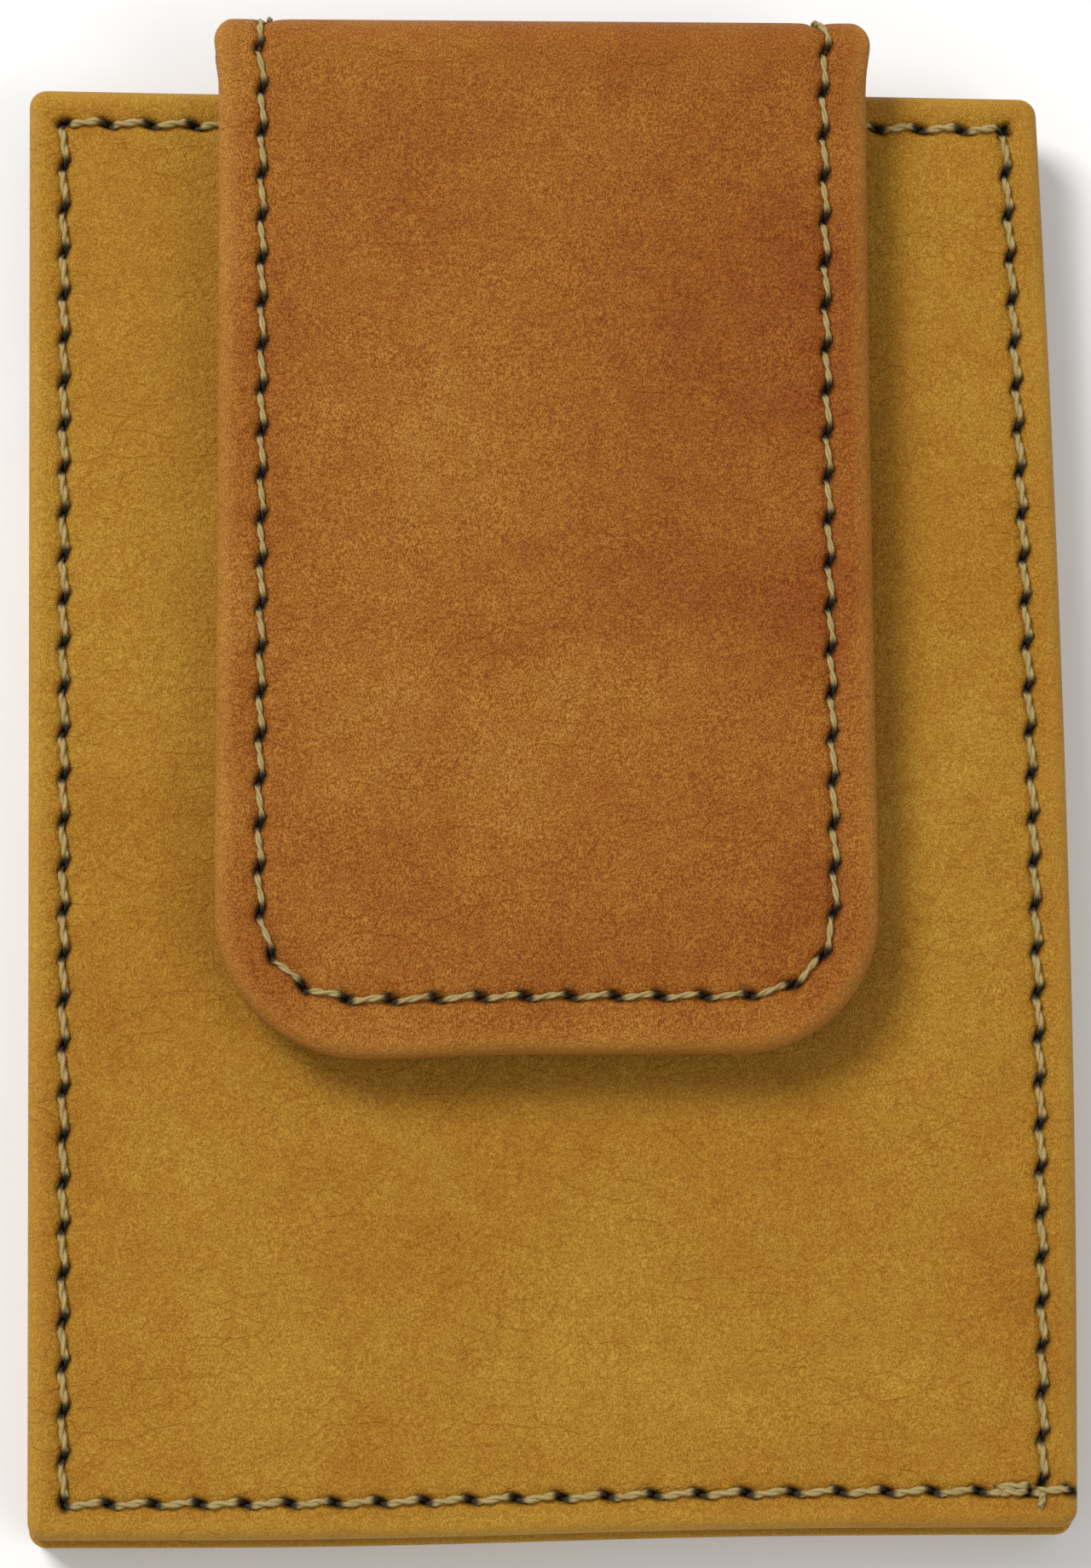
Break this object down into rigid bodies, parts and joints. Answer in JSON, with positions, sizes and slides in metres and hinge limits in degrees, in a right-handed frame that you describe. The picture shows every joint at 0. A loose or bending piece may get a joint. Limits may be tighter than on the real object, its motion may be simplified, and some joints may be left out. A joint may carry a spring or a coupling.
{
  "type": "magnetic money clip with card case",
  "caption": "Slim leather card case with a folded, stitched magnetic strap on its face that clips banknotes; stepped card slots and an identity window behind.",
  "frame": {"origin": "On the plane that the case's back rests on, under the middle of the whole object's outline (case and fold together).", "axes": "+Z out of the clip side, +Y towards the fold at the top of the case, +X to the right when looking at the clip side, where the centre pocket opens."},
  "size_m": [0.07, 0.1036, 0.0122],
  "materials": {
    "case_leather": "satin",
    "strap_leather": "satin",
    "strap_inner_leather": "matte",
    "woven_lining": "matte",
    "board": "matte",
    "thread": "satin",
    "clear_sheet": "gloss",
    "magnet": "satin"
  },
  "bodies": {
    "case": {"face_panel": "case_leather", "face_turned_edges": "case_leather", "face_stiffener": "board", "face_lining": "woven_lining", "pocket_lining": "woven_lining", "back_panel": "case_leather", "upper_card_slot": "case_leather", "upper_slot_lining": "woven_lining", "middle_card_slot": "case_leather", "middle_slot_lining": "woven_lining", "window_frame": "case_leather", "window_sheet": "clear_sheet", "case_seam_thread": "thread", "case_seam_bobbin": "thread", "pocket_edge_thread": "thread", "pocket_edge_bobbin": "thread", "rear_edge_thread": "thread", "rear_edge_bobbin": "thread", "window_seam_thread": "thread", "bar_tack_thread": "thread", "base_leather": "strap_leather", "base_board": "board", "base_magnets": "magnet", "base_lining": "strap_inner_leather", "base_seam_thread": "thread", "base_seam_bobbin": "thread", "fold_leather": "strap_leather", "fold_lining": "strap_inner_leather", "fold_thread": "thread"},
    "flap": {"flap_leather": "strap_leather", "flap_board": "board", "flap_magnets": "magnet", "flap_lining": "strap_inner_leather", "flap_seam_thread": "thread", "flap_seam_bobbin": "thread"}
  },
  "joints": [
    {"name": "flap_hinge", "type": "hinge", "parent": "case", "child": "flap", "pos_m": [0, 0.05145, 0.0096], "axis": [-1, 0, 0], "range_deg": [0, 180], "stiffness_Nm_per_rad": 0.002, "deforming": ["fold_leather", "fold_lining", "fold_thread"]}
  ]
}
